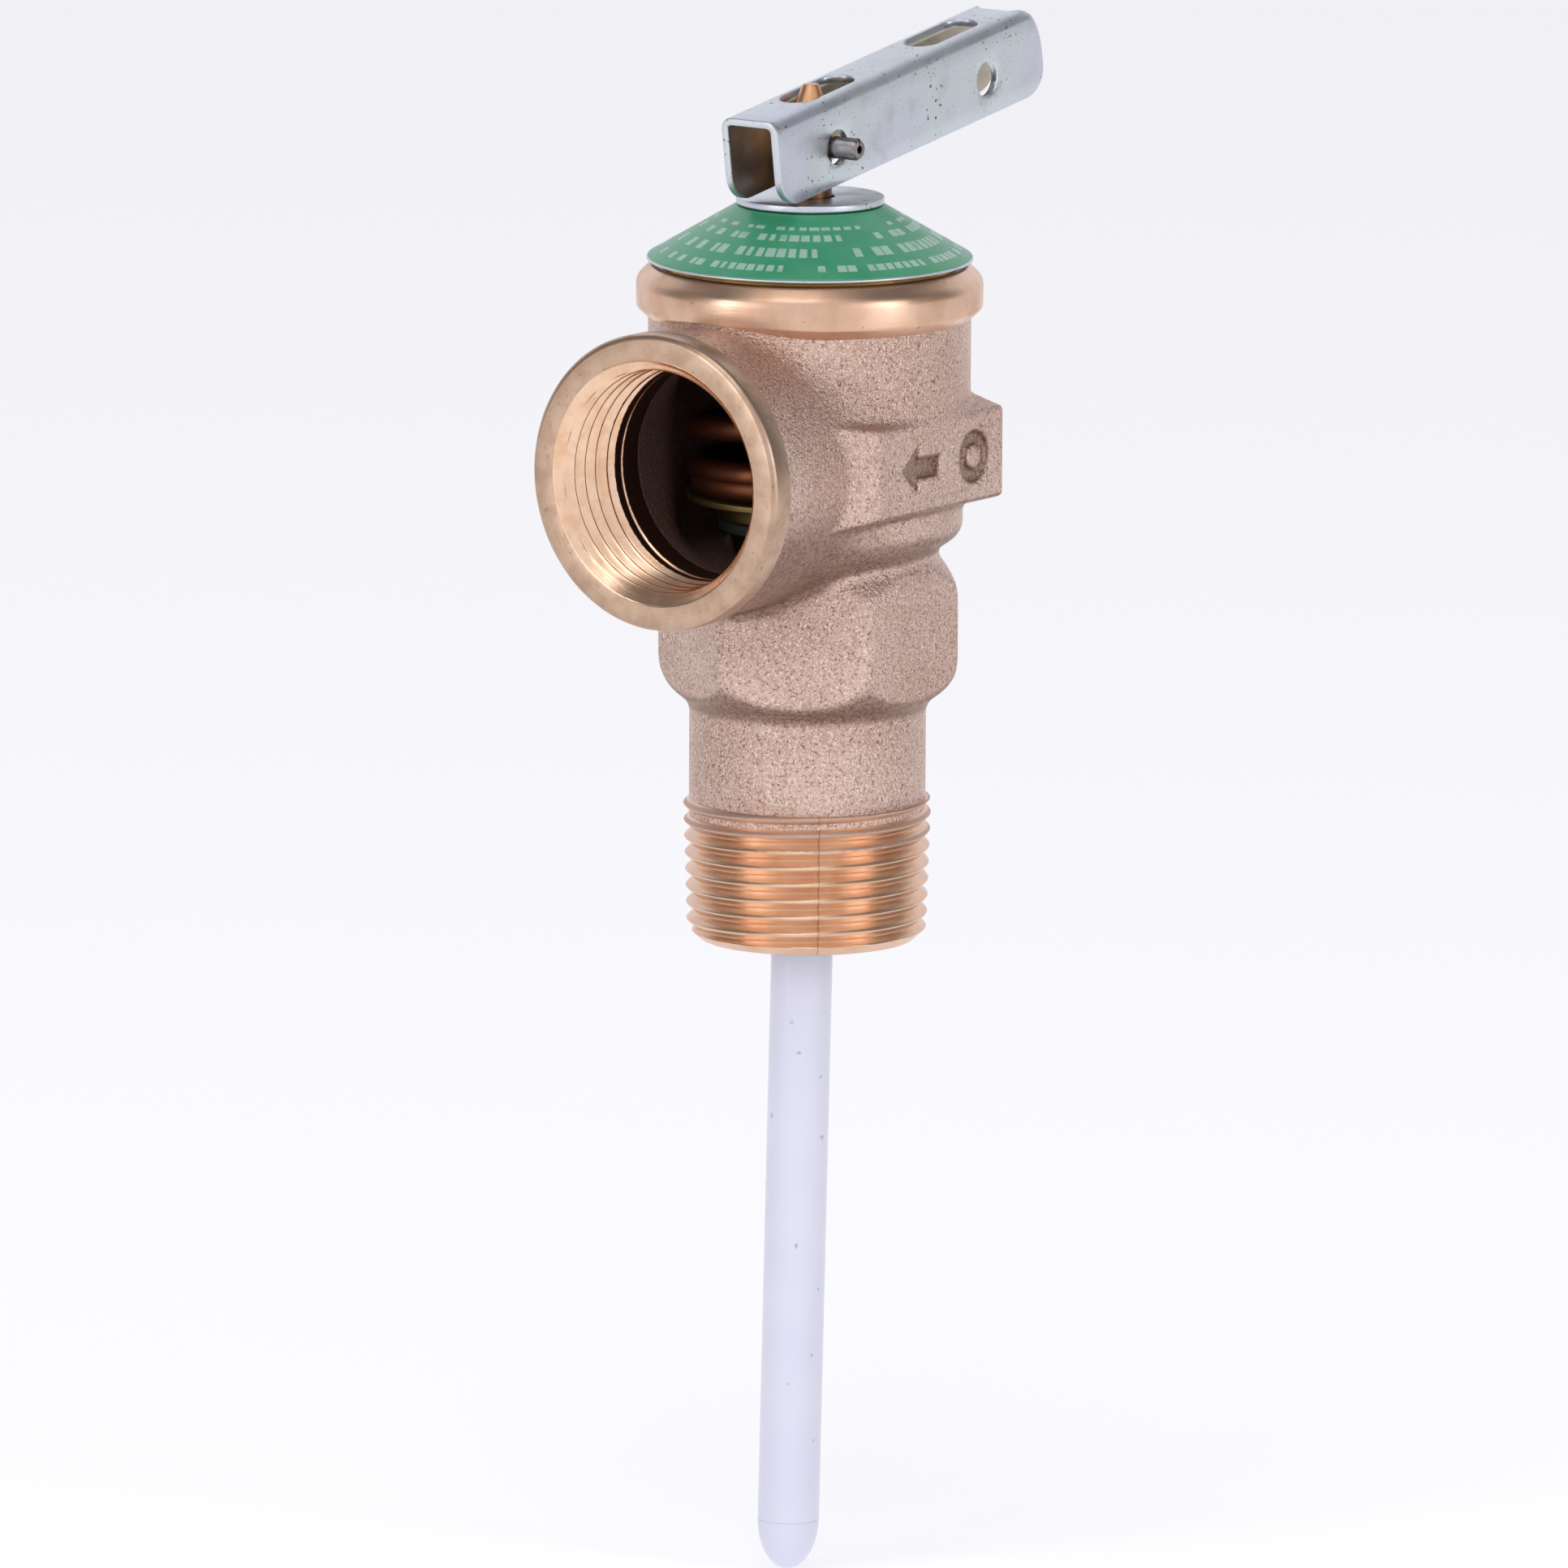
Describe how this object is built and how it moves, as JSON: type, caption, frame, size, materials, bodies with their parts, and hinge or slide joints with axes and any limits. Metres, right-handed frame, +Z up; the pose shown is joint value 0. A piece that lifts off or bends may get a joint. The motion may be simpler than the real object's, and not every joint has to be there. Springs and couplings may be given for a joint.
{
  "type": "pressure relief valve",
  "caption": "Temperature and pressure relief valve with a male inlet thread, a female side outlet, a thermostat probe and a test lever that lifts a sprung disc.",
  "frame": {"origin": "on the body's axis at the plane of the inlet's end face", "axes": "+Z runs up the stem, -Z out of the inlet along the probe, -Y out of the side outlet, and the lever points to +Y at rest"},
  "size_m": [0.0376, 0.0676, 0.1682],
  "materials": {
    "cast_bronze": "sand cast with turned threads and rims",
    "bronze_bar": "turned",
    "brass": "turned",
    "copper": "drawn copper alloy",
    "zinc_plate": "zinc plated sheet steel with small specks",
    "dark_steel": "rolled spring steel",
    "plain_steel": "plain",
    "green_label": "green enamel on thin sheet with pale printed marks",
    "black_rubber": "moulded",
    "white_coating": "smooth coating, slightly translucent",
    "wax": "wax"
  },
  "bodies": {
    "body": {"valve_body": "cast_bronze", "bonnet": "brass", "bonnet_gasket": "black_rubber", "nameplate_cone": "green_label", "stem_bush": "brass", "spring_upper_seat": "plain_steel", "main_spring": "copper", "thermostat_collar": "brass", "collar_ring": "plain_steel", "probe_sheath": "white_coating", "probe_tip": "white_coating", "thermostat_case": "copper", "wax_charge": "wax", "thermostat_boot": "black_rubber", "thermostat_guide": "brass"},
    "washer": {"top_washer": "zinc_plate"},
    "stem": {"stem": "bronze_bar", "lever_pin": "dark_steel", "stem_clip": "plain_steel"},
    "lever": {"test_lever": "zinc_plate"},
    "disc": {"disc_holder": "brass", "seat_seal": "black_rubber", "seal_retainer": "brass", "retainer_nut": "plain_steel"},
    "plunger": {"thermostat_plunger": "plain_steel"}
  },
  "joints": [
    {"name": "lever_swivel", "type": "hinge", "parent": "body", "child": "washer", "pos_m": [0, 0, 0], "axis": [0, 0, 1], "continuous": true},
    {"name": "stem_lift", "type": "slide", "parent": "washer", "child": "stem", "axis": [0, 0, 1], "range_m": [0, 0.0054]},
    {"name": "lever_swing", "type": "hinge", "parent": "stem", "child": "lever", "pos_m": [0, 0, 0.08688], "axis": [1, 0, 0], "range_deg": [0, 50]},
    {"name": "disc_lift", "type": "slide", "parent": "body", "child": "disc", "axis": [0, 0, 1], "range_m": [0, 0.0054], "deforming": ["main_spring"]},
    {"name": "plunger_travel", "type": "slide", "parent": "body", "child": "plunger", "axis": [0, 0, 1], "range_m": [0, 0.0024]}
  ],
  "couplings": [
    {"joint": "stem_lift", "follows": "lever_swing", "m_per_rad": 0.00615},
    {"joint": "disc_lift", "follows": "lever_swing", "m_per_rad": 0.00615}
  ]
}
